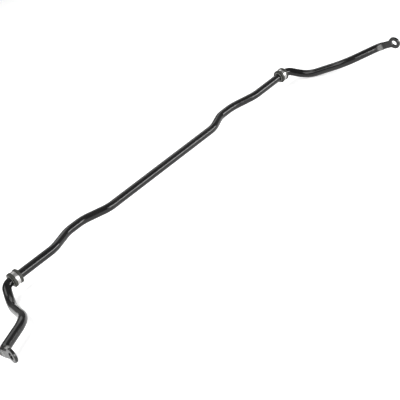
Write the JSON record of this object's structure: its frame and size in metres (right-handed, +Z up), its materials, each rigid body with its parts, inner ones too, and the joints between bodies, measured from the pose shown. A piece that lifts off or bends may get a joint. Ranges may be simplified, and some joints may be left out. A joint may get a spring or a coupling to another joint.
{
  "type": "sway bar",
  "caption": "Bent spring-steel sway bar with a forged link eye at each end and a banded rubber frame bush near each arm.",
  "frame": {"origin": "bottom centre of the box around the whole bar", "axes": "+X along the bar's straight middle, from the left bush to the right bush; +Y from the link eyes towards the jogs; +Z up, away from the flat bases of the bushes"},
  "size_m": [1.0482, 0.2616, 0.042],
  "materials": {
    "bar_paint": "gloss black paint over spring steel",
    "bush_rubber": "matt moulded rubber",
    "bush_liner": "pale low-friction liner",
    "band_steel": "bright zinc-plated strip"
  },
  "bodies": {
    "bar": {"torsion_bar": "bar_paint"},
    "left_bush": {"left_bush_rubber": "bush_rubber", "left_bush_liner": "bush_liner", "left_bush_band": "band_steel"},
    "right_bush": {"right_bush_rubber": "bush_rubber", "right_bush_liner": "bush_liner", "right_bush_band": "band_steel"}
  },
  "joints": [
    {"name": "left_bush_turn", "type": "hinge", "parent": "bar", "child": "left_bush", "pos_m": [-0.38, 0.09728, 0.02775], "axis": [1, 0, 0], "range_deg": [-22, 22]},
    {"name": "right_bush_turn", "type": "hinge", "parent": "bar", "child": "right_bush", "pos_m": [0.38, 0.09728, 0.02775], "axis": [1, 0, 0], "range_deg": [-22, 22]}
  ]
}
